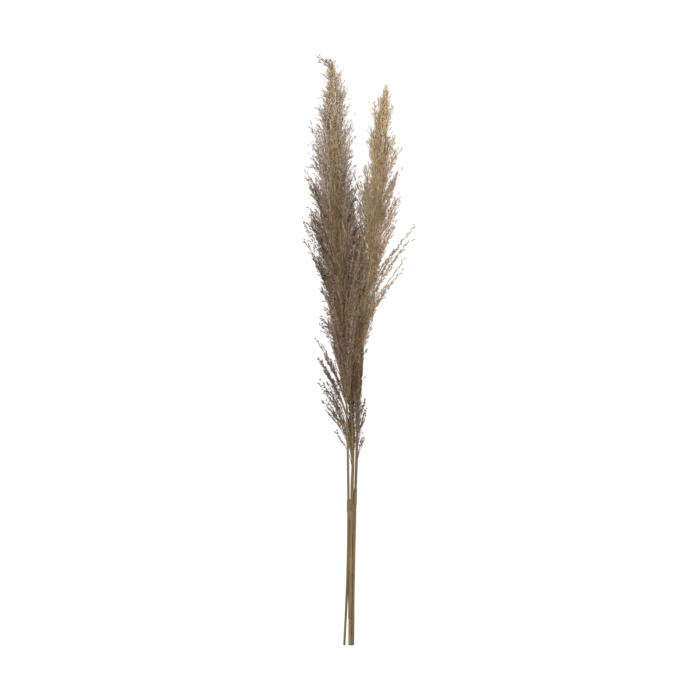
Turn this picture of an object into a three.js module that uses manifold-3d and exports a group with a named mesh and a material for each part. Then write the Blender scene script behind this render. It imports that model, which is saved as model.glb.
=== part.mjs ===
// A bundle of three dried pampas grass stems, lying on a surface.
//
// Frame: millimetres, +Z up. The stems lie along Y with their cut ends at -Y and their plume tips at +Y.
// The origin is the middle of the footprint, on the surface that the bundle lies on.
//
// Each stem is a culm that runs on as the midrib of its plume, a dried leaf sheath left on the culm, a soft
// plume, and the branches that stand clear of the plume. The front plume lies on top of the back one, and
// the right plume lies beside them.
import * as THREE from 'three';
import { mergeVertices } from 'three/addons/utils/BufferGeometryUtils.js';
import Module from 'manifold-3d';

// ---------------------------------------------------------------------------------------------------------
// Driving dimensions, in millimetres
// ---------------------------------------------------------------------------------------------------------

const GAP = 0.3; // left between two pieces that touch
const SHEATH_WALL = 0.5; // thickness of a dried leaf sheath
const CULM_TIP_RADIUS = 0.6; // the midrib, where it ends inside the plume
const PLUME_NECK = 3; // how far a plume stands out round its culm at the base
const PLUME_TIP_RADIUS = 1.5;
const MIDRIB_SHORT = 30; // the midrib ends this far below the plume's tip
const PLUME_SAG = 4; // how far a plume settles into what it lies on
const BRANCH_BASE_RADIUS = 0.8;
const BRANCH_TIP_RADIUS = 0.6;

const FRONT_STEM_LENGTH = 1094; // cut end to plume tip
const FRONT_CULM_RADIUS = 2; // at the cut end
const FRONT_PLUME_LENGTH = 628;
const FRONT_PLUME_WIDTH = 70;
const FRONT_PLUME_HEIGHT = 38;

const BACK_STEM_LENGTH = 1055;
const BACK_CULM_RADIUS = 2.5;
const BACK_PLUME_LENGTH = 600;
const BACK_PLUME_WIDTH = 80;
const BACK_PLUME_HEIGHT = 38;

const RIGHT_STEM_LENGTH = 1044;
const RIGHT_CULM_RADIUS = 2.5;
const RIGHT_PLUME_LENGTH = 598;
const RIGHT_PLUME_WIDTH = 56;
const RIGHT_PLUME_HEIGHT = 42;

const BACK_CUT_X = -15.4; // the back culm's cut end, across the bundle
const RIGHT_CUT_X = BACK_CUT_X + BACK_CULM_RADIUS + RIGHT_CULM_RADIUS + GAP; // it touches the back one
const FRONT_SIDE_X = BACK_CUT_X - BACK_CULM_RADIUS - FRONT_CULM_RADIUS; // where it would touch the back one
const BACK_PLUME_BASE = BACK_STEM_LENGTH - BACK_PLUME_LENGTH;

// The height of each plume's middle: the back and right ones lie on the surface, the front one on the back.
const BACK_AXIS_HEIGHT = BACK_PLUME_HEIGHT / 2 - PLUME_SAG;
const RIGHT_AXIS_HEIGHT = RIGHT_PLUME_HEIGHT / 2 - PLUME_SAG;
const FRONT_AXIS_HEIGHT = BACK_AXIS_HEIGHT + (BACK_PLUME_HEIGHT + FRONT_PLUME_HEIGHT) / 2 - PLUME_SAG;

// Each stem. side: where its cut end lies across the bundle, before its bends are added.
// bends: [share of the stem's length from its cut end, how far across it has moved from side].
// riseFrom and riseTo: where the culm starts to lift off the surface and reaches its plume's height.
// droop: how far the tip hangs below the plume's middle. fullest and fullness shape the plume's outline.
const STEMS = {
  front: {
    length: FRONT_STEM_LENGTH,
    radius: FRONT_CULM_RADIUS,
    side: FRONT_SIDE_X,
    bends: [[0, -6.4], [0.1, -1.5], [0.22, 1.1], [0.42, -2.5], [0.62, -12], [0.76, -21.4], [1, -30.7]],
    riseFrom: BACK_PLUME_BASE - 305, // it clears the back stem's low branches
    riseTo: BACK_PLUME_BASE + 225, // and lies on the back plume
    axisHeight: FRONT_AXIS_HEIGHT,
    droop: 14,
    plume: { length: FRONT_PLUME_LENGTH, width: FRONT_PLUME_WIDTH, height: FRONT_PLUME_HEIGHT, fullest: 0.57,
      fullness: 0.6 },
    sheath: { from: 249, length: 25, start: 84, sweep: 226, flap: 5.5 },
  },
  back: {
    length: BACK_STEM_LENGTH,
    radius: BACK_CULM_RADIUS,
    side: BACK_CUT_X,
    bends: [[0, 0], [0.18, 1.3], [0.35, 4], [0.48, -1.1], [0.63, -16.6], [0.78, -27.6], [0.9, -27.6],
      [1, -21.6]],
    riseFrom: 150,
    riseTo: 600,
    axisHeight: BACK_AXIS_HEIGHT,
    droop: 5,
    plume: { length: BACK_PLUME_LENGTH, width: BACK_PLUME_WIDTH, height: BACK_PLUME_HEIGHT, fullest: 0.6,
      fullness: 0.65 },
    sheath: { from: 50, length: 90, start: 50, sweep: 170, flap: 0 },
  },
  right: {
    length: RIGHT_STEM_LENGTH,
    radius: RIGHT_CULM_RADIUS,
    side: RIGHT_CUT_X,
    bends: [[0, 0], [0.18, 3.1], [0.35, 7.5], [0.49, 9.2], [0.6, 17.6], [0.7, 32.6], [0.81, 43.9],
      [1, 60.7]],
    riseFrom: 150,
    riseTo: 620,
    axisHeight: RIGHT_AXIS_HEIGHT,
    droop: 7,
    plume: { length: RIGHT_PLUME_LENGTH, width: RIGHT_PLUME_WIDTH, height: RIGHT_PLUME_HEIGHT, fullest: 0.62,
      fullness: 1 },
    sheath: { from: 262, length: 30, start: -40, sweep: 260, flap: 0 },
  },
};

// Branches that stand clear of the plumes, each group a list of
// [start along the stem measured from the plume's base, reach along Y, spread across (+ to the right),
//  height of the tip above the surface, thickness at the middle].
const BRANCHES = {
  back_low_branch: ['back', [
    [-131, 98, -37, 6, 5], [-120, 120, -48, 9, 5], [-109, 148, -56, 5, 5.4], [-98, 174, -57, 10, 5],
    [-85, 197, -63, 5, 5.4], [10, 146, -50, 12, 6],
  ]],
  right_low_branch: ['right', [[-112, 62, 17, 5, 4.4], [-92, 86, 18, 8, 4.4], [-70, 88, 19, 5, 4.4]]],
  right_stray_branch: ['right', [[92, 182, 81, 12, 5], [108, 231, 99, 20, 5.4], [126, 178, 71, 27, 5]]],
  back_side_branch: ['back', [
    [130, 170, -72, 10, 8], [160, 176, -72, 16, 8], [262, 162, -56, 12, 8], [392, 126, -40, 16, 7],
  ]],
  right_side_branch: ['right', [[285, 150, -27, 24, 5], [330, 112, 47, 18, 5.4]]],
  front_tip_branch: ['front', [[585, 48, -19, 40, 3.4]]],
};

const CULM_SIDES = 8;
const CULM_STEPS = 44;
const PLUME_SIDES = 16;
const PLUME_STEPS = 24;
const BRANCH_SIDES = 6;
const BRANCH_STEPS = 10;
const SHEATH_STEPS = 6;
const ARC_STEP = 25; // degrees between the corners of a sheath's section
const LEAN = 0.25; // the share of its spread at which a branch's curve is steered, half way up
const BRANCH_FULLEST = 1.2; // over 1 puts a branch's fullest place past its middle
const CULM_TAPER = 1.5; // over 1 keeps a culm's thickness low down and thins it in the plume
const MERGE_DISTANCE = 1e-4; // corners closer than this are one corner
const LINE_STEP = 1e-3; // share of a line's length over which its direction is taken

const CULM_COLOUR = 0x8d7b58;
const SHEATH_COLOUR = 0x8f8459;
const GOLDEN_COLOUR = 0x97826c;
const TAUPE_COLOUR = 0x8a7766;
const CULM_ROUGHNESS = 0.55;
const SHEATH_ROUGHNESS = 0.7;
const PLUME_ROUGHNESS = 0.95;

const wasm = await Module();
wasm.setup();

// ---------------------------------------------------------------------------------------------------------
// Lines that the pieces follow
// ---------------------------------------------------------------------------------------------------------

// The middle line of a stem: across from its bends, height from where it lifts off and where its tip droops.
function stemLine(stem) {
  const across = new THREE.CatmullRomCurve3(
    stem.bends.map(([share, x]) => new THREE.Vector3(stem.side + x, share * stem.length, 0)),
    false, 'centripetal');
  const droopFrom = stem.length - stem.plume.length / 2;
  return (distance) => {
    const point = across.getPoint(shareToParameter(stem.bends, distance / stem.length));
    const rise = THREE.MathUtils.smoothstep(distance, stem.riseFrom, stem.riseTo);
    const hang = Math.max(0, (distance - droopFrom) / (stem.length - droopFrom));
    point.z = stem.radius + (stem.axisHeight - stem.radius) * rise - stem.droop * hang * hang;
    point.y = distance;
    return point;
  };
}

// The curve parameter of a share of the stem's length, which runs evenly from one bend to the next.
function shareToParameter(bends, share) {
  const last = bends.length - 1;
  let i = 0;
  while (i < last - 1 && share > bends[i + 1][0]) i += 1;
  const within = (share - bends[i][0]) / (bends[i + 1][0] - bends[i][0]);
  return (i + within) / last;
}

// A curved line from a start point to a tip, leaving its stem at a narrow angle.
function branchLine(start, tip) {
  const middle = start.clone().lerp(tip, 0.5);
  middle.x = THREE.MathUtils.lerp(start.x, tip.x, LEAN);
  const curve = new THREE.QuadraticBezierCurve3(start, middle, tip);
  return (share) => curve.getPoint(share);
}

// The directions across and above a line at a share of its length.
function frameAt(line, share) {
  const ahead = line(Math.min(1, share + LINE_STEP));
  const behind = line(Math.max(0, share - LINE_STEP));
  const along = ahead.sub(behind).normalize();
  const across = new THREE.Vector3().crossVectors(along, new THREE.Vector3(0, 0, 1)).normalize();
  const above = new THREE.Vector3().crossVectors(across, along);
  return { across, above };
}

// ---------------------------------------------------------------------------------------------------------
// Solids
// ---------------------------------------------------------------------------------------------------------

// A closed soft rod along a line. halfWidth and halfHeight give its section at each share of its length.
// No corner goes below the surface, so a rod that lies on it is flat underneath.
function rod(line, halfWidth, halfHeight, sides, steps, floor) {
  const geometry = new THREE.CylinderGeometry(1, 1, 1, sides, steps);
  const corners = geometry.attributes.position;
  for (let i = 0; i < corners.count; i += 1) {
    const share = THREE.MathUtils.clamp(corners.getY(i) + 0.5, 0, 1);
    const { across, above } = frameAt(line, share);
    const place = line(share);
    place.addScaledVector(across, corners.getX(i) * halfWidth(share));
    place.addScaledVector(above, corners.getZ(i) * halfHeight(share));
    corners.setXYZ(i, place.x, place.y, Math.max(place.z, floor));
  }
  return geometry;
}

// A culm from its cut end to where its midrib ends inside the plume.
function culmForm(stem, grow) {
  const end = stem.length - MIDRIB_SHORT + grow;
  const line = stemLine(stem);
  const radius = (share) => culmRadius(stem, share * end) + grow;
  return rod((share) => line(share * end), radius, radius, CULM_SIDES, CULM_STEPS, -grow);
}

function culmRadius(stem, distance) {
  return THREE.MathUtils.lerp(stem.radius, CULM_TIP_RADIUS, (distance / stem.length) ** CULM_TAPER);
}

// A plume: full near its middle, drawn in to a neck round the culm and to a soft point at the tip.
function plumeForm(stem, grow) {
  const { length, width, height, fullest, fullness } = stem.plume;
  const line = stemLine(stem);
  const base = stem.length - length;
  const neck = culmRadius(stem, base) + GAP + PLUME_NECK;
  const power = Math.log(0.5) / Math.log(fullest);
  const swell = (share) => Math.sin(Math.PI * Math.min(1, share) ** power) ** fullness;
  const ends = (share) => THREE.MathUtils.lerp(neck, PLUME_TIP_RADIUS, share);
  const half = (full) => (share) => {
    const belly = Math.max(0, full / 2 - ends(fullest)) * Math.max(0, swell(share) || 0);
    return ends(share) + belly + grow;
  };
  const route = (share) => line(base - grow + share * (length + 2 * grow));
  return rod(route, half(width), half(height), PLUME_SIDES, PLUME_STEPS, -grow);
}

// A branch: thin where it leaves its stem, fullest past its middle, and fine at the tip.
function branchForm(stem, [from, reach, spread, tipHeight, thickness], grow) {
  const line = stemLine(stem);
  const base = stem.length - stem.plume.length + from;
  const start = line(base);
  const side = Math.sign(spread);
  start.x += side * (culmRadius(stem, base) + GAP + BRANCH_BASE_RADIUS + GAP);
  const tip = new THREE.Vector3(start.x + spread, start.y + reach, tipHeight);
  const radius = (share) => {
    const ends = THREE.MathUtils.lerp(BRANCH_BASE_RADIUS, BRANCH_TIP_RADIUS, share);
    return ends + (thickness / 2 - ends) * Math.sin(Math.PI * share ** BRANCH_FULLEST) + grow;
  };
  return rod(branchLine(start, tip), radius, radius, BRANCH_SIDES, BRANCH_STEPS, -grow);
}

// One face of a sheath's section: an arc round the culm, led in by the flap's straight edge.
// widen lengthens the arc at both ends, in degrees.
function sheathFace({ start, sweep, flap }, radius, widen) {
  const first = THREE.MathUtils.degToRad(start - widen);
  const turn = sweep + 2 * widen;
  const count = Math.ceil(turn / ARC_STEP);
  const points = [];
  if (flap > 0) {
    const edge = new THREE.Vector2(Math.cos(first), Math.sin(first)).multiplyScalar(radius);
    points.push(edge.add(new THREE.Vector2(Math.sin(first), -Math.cos(first)).multiplyScalar(flap)));
  }
  for (let i = 0; i <= count; i += 1) {
    const angle = first + THREE.MathUtils.degToRad((turn * i) / count);
    points.push(new THREE.Vector2(Math.cos(angle), Math.sin(angle)).multiplyScalar(radius));
  }
  return points;
}

// A dried leaf sheath: a thin wall that wraps part of the way round its culm, with a torn flap on one edge.
function sheathForm(stem, grow) {
  const { sheath } = stem;
  const line = stemLine(stem);
  const inner = culmRadius(stem, sheath.from) + GAP;
  const outer = inner + SHEATH_WALL;
  const widen = THREE.MathUtils.radToDeg(grow / inner);
  const innerFace = sheathFace(sheath, inner - grow, widen).reverse();
  const section = [...sheathFace(sheath, outer + grow, widen), ...innerFace];
  const outline = new THREE.Shape(section.map((point) => new THREE.Vector2(-point.x, point.y)));
  const geometry = new THREE.ExtrudeGeometry(outline, { depth: 1, steps: SHEATH_STEPS, bevelEnabled: false });
  const route = (share) => line(sheath.from - grow + share * (sheath.length + 2 * grow));
  const corners = geometry.attributes.position;
  for (let i = 0; i < corners.count; i += 1) {
    const share = corners.getZ(i);
    const { across, above } = frameAt(route, share);
    const place = route(share);
    place.addScaledVector(across, -corners.getX(i));
    place.addScaledVector(above, corners.getY(i));
    corners.setXYZ(i, place.x, place.y, place.z);
  }
  return geometry;
}

// ---------------------------------------------------------------------------------------------------------
// Cutting and assembly
// ---------------------------------------------------------------------------------------------------------

function toSolid(geometry) {
  const bare = geometry.clone();
  bare.deleteAttribute('normal');
  bare.deleteAttribute('uv');
  const merged = mergeVertices(bare, MERGE_DISTANCE);
  return new wasm.Manifold(new wasm.Mesh({
    numProp: 3,
    vertProperties: merged.attributes.position.array,
    triVerts: new Uint32Array(merged.index.array),
  }));
}

function toGeometry(solid) {
  const { vertProperties, triVerts } = solid.getMesh();
  const geometry = new THREE.BufferGeometry();
  geometry.setAttribute('position', new THREE.BufferAttribute(vertProperties, 3));
  geometry.setIndex(new THREE.BufferAttribute(triVerts, 1));
  geometry.computeVertexNormals();
  return geometry;
}

const bundle = new THREE.Group();
const pieces = new THREE.Group();
bundle.add(pieces);
const cutters = [];

function addPiece(name, geometry, colour, roughness) {
  const material = new THREE.MeshStandardMaterial({ color: colour, roughness, metalness: 0 });
  const mesh = new THREE.Mesh(geometry, material);
  mesh.name = name;
  pieces.add(mesh);
}

// A soft piece gives way to every piece placed before it.
function addSoftPiece(name, form, colour) {
  const solid = cutters.reduce((body, cutter) => body.subtract(cutter), toSolid(form(0)));
  addPiece(name, toGeometry(solid), colour, PLUME_ROUGHNESS);
  cutters.push(toSolid(form(GAP)));
}

for (const [name, stem] of Object.entries(STEMS)) {
  addPiece(`${name}_culm`, culmForm(stem, 0), CULM_COLOUR, CULM_ROUGHNESS);
  cutters.push(toSolid(culmForm(stem, GAP)));
}
for (const [name, stem] of Object.entries(STEMS)) {
  addPiece(`${name}_sheath`, sheathForm(stem, 0), SHEATH_COLOUR, SHEATH_ROUGHNESS);
  cutters.push(toSolid(sheathForm(stem, GAP)));
}
for (const name of ['front', 'right', 'back']) {
  const colour = name === 'back' ? TAUPE_COLOUR : GOLDEN_COLOUR;
  addSoftPiece(`${name}_plume`, (grow) => plumeForm(STEMS[name], grow), colour);
}
for (const [group, [owner, list]] of Object.entries(BRANCHES)) {
  list.forEach((sizes, i) => {
    const name = list.length > 1 ? `${group}_${i + 1}` : group;
    addSoftPiece(name, (grow) => branchForm(STEMS[owner], sizes, grow), TAUPE_COLOUR);
  });
}

// The middle of the footprint comes to the origin, on the surface.
const box = new THREE.Box3().setFromObject(pieces);
const centre = box.getCenter(new THREE.Vector3());
pieces.position.set(-centre.x, -centre.y, -box.min.z);

export default bundle;
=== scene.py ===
"""Looks of a bundle of dried pampas grass: three canes with feathery plumes, lying on a pale surface.

Everything is in metres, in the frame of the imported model: the stems lie along Y, with their cut ends at
-Y and their plume tips at +Y, and Z is up from the surface. Each cane's middle line is read from its
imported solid, so the plumes and branches grow where the model has them.
"""

import logging
import math
from dataclasses import dataclass
from enum import Enum
from typing import Any, Sequence

import bpy
import numpy as np
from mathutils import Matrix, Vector


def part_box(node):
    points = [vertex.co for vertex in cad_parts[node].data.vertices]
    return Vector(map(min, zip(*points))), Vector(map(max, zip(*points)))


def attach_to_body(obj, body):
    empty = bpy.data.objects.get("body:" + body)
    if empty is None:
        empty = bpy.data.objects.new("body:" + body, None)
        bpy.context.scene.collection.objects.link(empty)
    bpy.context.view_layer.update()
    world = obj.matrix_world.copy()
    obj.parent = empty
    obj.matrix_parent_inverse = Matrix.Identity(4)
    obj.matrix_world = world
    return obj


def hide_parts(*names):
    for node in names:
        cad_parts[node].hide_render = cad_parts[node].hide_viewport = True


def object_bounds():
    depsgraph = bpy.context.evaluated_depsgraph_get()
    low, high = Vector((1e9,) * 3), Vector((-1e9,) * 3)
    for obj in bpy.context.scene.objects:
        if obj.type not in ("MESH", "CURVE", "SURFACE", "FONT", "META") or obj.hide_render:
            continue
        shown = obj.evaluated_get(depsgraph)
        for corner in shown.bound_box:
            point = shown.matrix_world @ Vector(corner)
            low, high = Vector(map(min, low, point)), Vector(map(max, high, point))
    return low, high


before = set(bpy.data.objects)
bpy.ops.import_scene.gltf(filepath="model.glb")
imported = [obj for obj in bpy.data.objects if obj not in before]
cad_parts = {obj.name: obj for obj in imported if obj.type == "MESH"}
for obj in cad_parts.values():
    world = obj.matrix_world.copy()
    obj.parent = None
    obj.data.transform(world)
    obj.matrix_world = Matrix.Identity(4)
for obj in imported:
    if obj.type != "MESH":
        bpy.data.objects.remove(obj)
CAD_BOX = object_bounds()

LOG = logging.getLogger("pampas")
BODY = "root"
UV_MAP = "OFBake"
UP = np.array([0.0, 0.0, 1.0])
NEAR_UP = UP + 0.01  # never quite in line with a strand
STRAND_UV = 0.004  # half the width of a strand on the colour map
HAIR_FADE = 0.07  # how much a hair pales from its middle to its tip, and darkens to its root
ROD_FADE = 0.06
SEED_FADE = 0.05
ROOM = 0.007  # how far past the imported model's box a hair may reach
SOFTNESS = 0.005  # how far inside that it starts to bend back
SOFTEST = 60  # past this share of the softness a hair counts as held
RING_GAP = 0.005  # vertices nearer than this along Y are in one ring of a cane
TIP_TAPER = 0.6  # a cane's thickness at its plume's tip, as a share of that where its solid ends
LOOSE_SEED = 101
CLUMP_ROWS = 30  # clumps along a plume's length
CLUMP_COLUMNS = 8  # and round it
CLUMPS_FROM = 0.5  # how far below its base they start, as a share of its length
TIP_DROP = 0.09  # how far below the topmost place the highest tips may end
WARM_FROM = 0.3  # only layers goldener than this take on their plume's warmth
HUE_NOISE = 0.07  # how much a plume's branches differ on the colour map
LIGHT_NOISE = 0.04
TUFT_NOISE = 0.03
BRANCH_TINT = 0.05  # how much side strands and twigs differ
SEED_TINT = 0.025
HAIR_TINT = 0.022
STRAND_SHADE = 0.04  # how much darker a strand is than its hairs
SEED_SHADE = 0.03
SETS_OFF = 0.35  # how far a branch runs straight on as it sets off, as a share of its run
ARRIVES = 0.3  # and as it comes to its tip
TUFT_SETS_OFF = (0.42, 0.3, 0.3)  # the same for a tuft, along each axis
TUFT_ARRIVES = (0.28, 0.36, 0.3)
THIRD = 0.33  # a loose branch runs on by this share of its run at both ends
LINE_STEPS = 9  # points on a plume's line
TWIG_STEPS = 12
MM = 0.001
FULL_TURN = 2 * math.pi
Array = np.ndarray
Rng = np.random.Generator
Material = bpy.types.Material
Piece = bpy.types.Object
Colour = tuple[float, float, float]
Profile = Sequence[tuple[float, float]]  # places and the value at each
Range = tuple[float, float]  # least and most


class Slot(Enum):
    """The material slots of the record."""

    CULM = "culm"
    SHEATH = "sheath"
    GOLDEN = "golden_plume"
    TAUPE = "taupe_plume"


class Side(Enum):
    """The side of a stem that a branch leaves towards."""

    LEFT = -1
    RIGHT = 1


# ---- Shader graphs ----


class Sock:
    """An output socket of a shader graph that numbers and other sockets can be worked with."""

    def __init__(self, graph: "Graph", socket: bpy.types.NodeSocket) -> None:
        """Wraps a socket of a graph."""
        self.graph = graph
        self.socket = socket

    def _math(self, operation: str, first: Any, second: Any) -> "Sock":
        """A Math node on two values."""
        return self.graph.node("ShaderNodeMath", {"operation": operation}, {0: first, 1: second})

    def __add__(self, other: Any) -> "Sock":
        """self + other."""
        return self._math("ADD", self, other)

    def __sub__(self, other: Any) -> "Sock":
        """self - other."""
        return self._math("SUBTRACT", self, other)

    def __mul__(self, other: Any) -> "Sock":
        """self * other."""
        return self._math("MULTIPLY", self, other)


class Graph:
    """The node graph of one material, ending in a Principled shader."""

    def __init__(self, name: str) -> None:
        """Starts an empty material of that name."""
        self.material = bpy.data.materials.new(name)
        self.material.use_nodes = True
        self.tree = self.material.node_tree
        self.tree.nodes.clear()

    def node(self, kind: str, settings: dict[str, Any] | None = None,
             sockets: dict[Any, Any] | None = None, out: Any = 0) -> Sock:
        """Adds a node.

        Args:
            kind: the node's type name.
            settings: properties set before the sockets; "stops" holds a ramp's (place, colour) pairs.
            sockets: input name or number to a value or to a Sock that is linked to it.
            out: the output that the result stands for.

        Returns:
            The chosen output.
        """
        node = self.tree.nodes.new(kind)
        for key, value in (settings or {}).items():
            if key == "stops":
                self._set_stops(node.color_ramp, value)
            else:
                setattr(node, key, value)
        for key, value in (sockets or {}).items():
            if isinstance(value, Sock):
                self.tree.links.new(value.socket, node.inputs[key])
            else:
                node.inputs[key].default_value = value
        return Sock(self, node.outputs[out])

    @staticmethod
    def _set_stops(ramp: bpy.types.ColorRamp, stops: Sequence[tuple[float, Colour]]) -> None:
        """Gives a colour ramp its stops.

        Args:
            ramp: the ramp.
            stops: the places on it, rising, and their colours.
        """
        while len(ramp.elements) > 1:
            ramp.elements.remove(ramp.elements[-1])
        for i, (place, colour) in enumerate(stops):
            element = ramp.elements[0] if i == 0 else ramp.elements.new(place)
            element.position = place
            element.color = (*colour, 1.0)

    def ramp(self, value: Sock, stops: Sequence[tuple[float, Colour]]) -> Sock:
        """A colour looked up on a ramp."""
        return self.node("ShaderNodeValToRGB", {"stops": stops}, {0: value})

    def mix(self, factor: Any, first: Any, second: Any) -> Sock:
        """Two colours mixed."""
        values = {0: factor, 6: _opaque(first), 7: _opaque(second)}
        return self.node("ShaderNodeMix", {"data_type": "RGBA"}, values, 2)

    def noise(self, coordinates: Sock, stretch: Sequence[float], detail: float = 3.0) -> Sock:
        """Noise from 0 to 1.

        Args:
            coordinates: where it is read.
            stretch: how fine its grain is along each axis.
            detail: how many finer grains are laid over it.

        Returns:
            The noise.
        """
        values = {0: coordinates, 1: tuple(stretch)}
        scaled = self.node("ShaderNodeVectorMath", {"operation": "MULTIPLY"}, values)
        return self.node("ShaderNodeTexNoise", None, {"Vector": scaled, "Scale": 1.0, "Detail": detail})

    def finish(self, **sockets: Any) -> Material:
        """Ends the graph in a Principled shader.

        Args:
            **sockets: Principled inputs, with _ for a space in their names.

        Returns:
            The material.
        """
        values = {key.replace("_", " "): value for key, value in sockets.items()}
        shader = self.node("ShaderNodeBsdfPrincipled", None, values)
        output = self.tree.nodes.new("ShaderNodeOutputMaterial")
        self.tree.links.new(shader.socket, output.inputs["Surface"])
        return self.material


def _opaque(colour: Any) -> Any:
    """A colour with its alpha, or a Sock as it is."""
    return colour if isinstance(colour, Sock) else (*colour, 1.0)


def srgb(*levels: int) -> Colour:
    """A linear colour from the three sRGB numbers of a paint chart, 0 to 255."""
    shares = [level / 255.0 for level in levels]
    return tuple(x / 12.92 if x <= 0.04045 else ((x + 0.055) / 1.055) ** 2.4 for x in shares)


@dataclass(frozen=True)
class HairFinish:
    """Silky seed hairs.

    A hair's place on the colour map says what it looks like: across the map from grey taupe to gold, and
    along it from dark to pale. Both carry painted light and shade besides the hairs' own colour: gold partly
    stands for painted light on hairs that face the lamps, grey taupe partly for painted shade on hairs that
    lie behind the others, and the dark end partly for painted shade deep in a dense plume.
    """

    name: str
    taupe: Sequence[tuple[float, Colour]]
    gold: Sequence[tuple[float, Colour]]
    mottle: float = 0.08
    grain: Sequence[float] = (70.0, 40.0, 1.0)  # of the mottle, on the colour map
    roughness: float = 0.75
    gloss: float = 0.2

    def material(self) -> Material:
        """Builds the finish.

        Returns:
            The material.
        """
        graph = Graph(self.name)
        place = graph.node("ShaderNodeUVMap", {"uv_map": UV_MAP})
        hue = graph.node("ShaderNodeSeparateXYZ", None, {0: place}, "X")
        light = graph.node("ShaderNodeSeparateXYZ", None, {0: place}, "Y")
        shade = light + (graph.noise(place, self.grain) - 0.5) * self.mottle
        colour = graph.mix(hue, graph.ramp(shade, self.taupe), graph.ramp(shade, self.gold))
        return graph.finish(Base_Color=colour, Roughness=self.roughness, Specular_IOR_Level=self.gloss)


@dataclass(frozen=True)
class CaneFinish:
    """Dry cane: golden olive with lengthwise streaks, browner in patches."""

    name: str
    light: Colour
    middle: Colour
    dark: Colour
    upper: Colour = (0.4, 0.24, 0.09)
    turns: Range = (-0.12, 0.08)  # where along Y it turns into the upper colour
    upper_most: float = 0.85  # how far it turns into it
    streaks: Sequence[float] = (1500.0, 14.0, 1500.0)  # grain per metre
    patches: Sequence[float] = (60.0, 9.0, 60.0)
    flecks: Sequence[float] = (900.0, 160.0, 900.0)
    streak_share: float = 0.55  # of the shade; the rest is patches
    fleck_share: float = 0.3
    roughness: float = 0.5
    uneven: float = 0.25  # how much rougher its pale streaks are
    gloss: float = 0.25
    bump: float = 0.25
    rib_depth: float = 0.0004

    def material(self) -> Material:
        """Builds the finish.

        Returns:
            The material.
        """
        graph = Graph(self.name)
        place = graph.node("ShaderNodeTexCoord", None, None, "Object")
        streak = graph.noise(place, self.streaks)
        patch = graph.noise(place, self.patches, 2.0)
        fleck = graph.noise(place, self.flecks, 4.0)
        shade = streak * self.streak_share + patch * (1 - self.streak_share)
        body = graph.ramp(shade, [(0.3, self.dark), (0.5, self.middle), (0.68, self.light)])
        flecked = graph.ramp(fleck, [(0.58, (0.0, 0.0, 0.0)), (0.7, (1.0, 1.0, 1.0))])
        along = graph.node("ShaderNodeSeparateXYZ", None, {0: place}, "Y")
        values = {"Value": along, "From Min": self.turns[0], "From Max": self.turns[1]}
        high = graph.node("ShaderNodeMapRange", {"interpolation_type": "SMOOTHSTEP"}, values)
        golden = graph.mix(high * self.upper_most, body, self.upper)
        colour = graph.mix(flecked * self.fleck_share, golden, self.dark)
        rough = streak * self.uneven + self.roughness
        values = {"Strength": self.bump, "Distance": self.rib_depth, "Height": streak}
        ribs = graph.node("ShaderNodeBump", None, values)
        return graph.finish(Base_Color=colour, Roughness=rough, Specular_IOR_Level=self.gloss, Normal=ribs)


@dataclass(frozen=True)
class FloorFinish:
    """A plain pale surface that gives off a little light, so that it stays near white."""

    colour: Colour = (0.1, 0.1, 0.1)
    glow: float = 0.92
    roughness: float = 0.9

    def material(self) -> Material:
        """The finish as a material."""
        graph = Graph("pale_floor")
        return graph.finish(Base_Color=_opaque(self.colour), Roughness=self.roughness,
                            Emission_Color=(1.0, 1.0, 1.0, 1.0), Emission_Strength=self.glow)


# ---- Lines and meshes ----


def read(profile: Profile, places: Array) -> Array:
    """A profile's value at places along it."""
    return np.interp(places, [p[0] for p in profile], [p[1] for p in profile])


def unit(vectors: Array) -> Array:
    """Vectors of length one."""
    return vectors / np.maximum(np.linalg.norm(vectors, axis=-1, keepdims=True), 1e-12)


def hold(points: Array) -> Array:
    """Keeps points inside the bundle's room: those that would leave it are bent back softly at its walls.

    Args:
        points: the points.

    Returns:
        The kept points.
    """
    low = np.array(CAD_BOX[0]) - ROOM
    high = np.array(CAD_BOX[1]) + ROOM
    low[2] = 0.0
    past = np.clip((points - (high - SOFTNESS)) / SOFTNESS, 0, SOFTEST)
    held = np.where(past > 0, high - SOFTNESS * np.exp(-past), points)
    past = np.clip((low + SOFTNESS - held) / SOFTNESS, 0, SOFTEST)
    return np.where(past > 0, low + SOFTNESS * np.exp(-past), held)


def sides_of(along: Array) -> tuple[Array, Array]:
    """The directions across and above others."""
    across = unit(np.cross(along, UP))
    return across, np.cross(across, along)


def fan(along: Array, angle: Array, turn: Array) -> Array:
    """Directions leaned away from others.

    Args:
        along: the directions to leave, one row each.
        angle: how far each leans away, in radians.
        turn: which way it leans, in radians round the direction that it leaves.

    Returns:
        The leaned directions.
    """
    across, above = sides_of(along)
    lean = across * np.cos(turn)[:, None] + above * np.sin(turn)[:, None]
    return along * np.cos(angle)[:, None] + lean * np.sin(angle)[:, None]


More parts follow.
